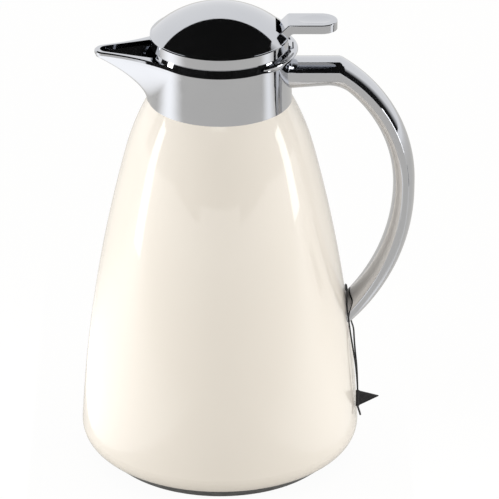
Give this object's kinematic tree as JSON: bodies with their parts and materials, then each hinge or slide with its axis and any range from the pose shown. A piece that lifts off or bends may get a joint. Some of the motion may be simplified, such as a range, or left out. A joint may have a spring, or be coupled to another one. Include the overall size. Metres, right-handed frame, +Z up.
{
  "type": "thermal carafe",
  "caption": "Thermal carafe: bowed lacquered shell round a glass vacuum liner, chrome collar with pouring spout, loop handle and a domed lid that tips open with a thumb lever.",
  "frame": {"origin": "on the body's axis, in the plane that the foot ring stands on", "axes": "+Z up along the body's axis, the spout points along -X and the handle along +X"},
  "size_m": [0.1723, 0.145, 0.2494],
  "materials": {
    "cream_lacquer": "gloss lacquer",
    "black_plastic": "fine grain",
    "black_rubber": "matt",
    "pale_rubber": "matt",
    "silvered_glass": "silvered glass",
    "chrome": "polished",
    "steel": "plain",
    "foam": "open cell",
    "black_cord": "twisted"
  },
  "bodies": {
    "jug": {"body_shell": "cream_lacquer", "base_ring": "black_plastic", "base_plug": "black_plastic", "foot_ring": "black_rubber", "liner_cushion": "pale_rubber", "liner_outer_glass": "silvered_glass", "liner_inner_glass": "silvered_glass", "liner_spacers": "pale_rubber", "neck_gasket": "pale_rubber", "neck_ring": "black_plastic", "clamp_nut": "black_plastic", "pour_funnel": "black_plastic", "collar": "chrome", "hinge_pin": "steel", "handle": "chrome", "handle_top_screws": "steel", "handle_foot_screw": "steel", "tag_string": "black_cord", "tag_flag": "black_cord"},
    "lid": {"lid_base": "chrome", "lid_dome": "chrome", "lid_stud": "steel", "lid_insulation": "foam", "stopper": "black_plastic", "stopper_foam": "foam", "lid_seal": "black_rubber", "thumb_lever": "chrome", "lever_screws": "steel"}
  },
  "joints": [
    {"name": "lid_hinge", "type": "hinge", "parent": "jug", "child": "lid", "pos_m": [0.0345, 0, 0.2275], "axis": [0, 1, 0], "range_deg": [0, 34]}
  ]
}
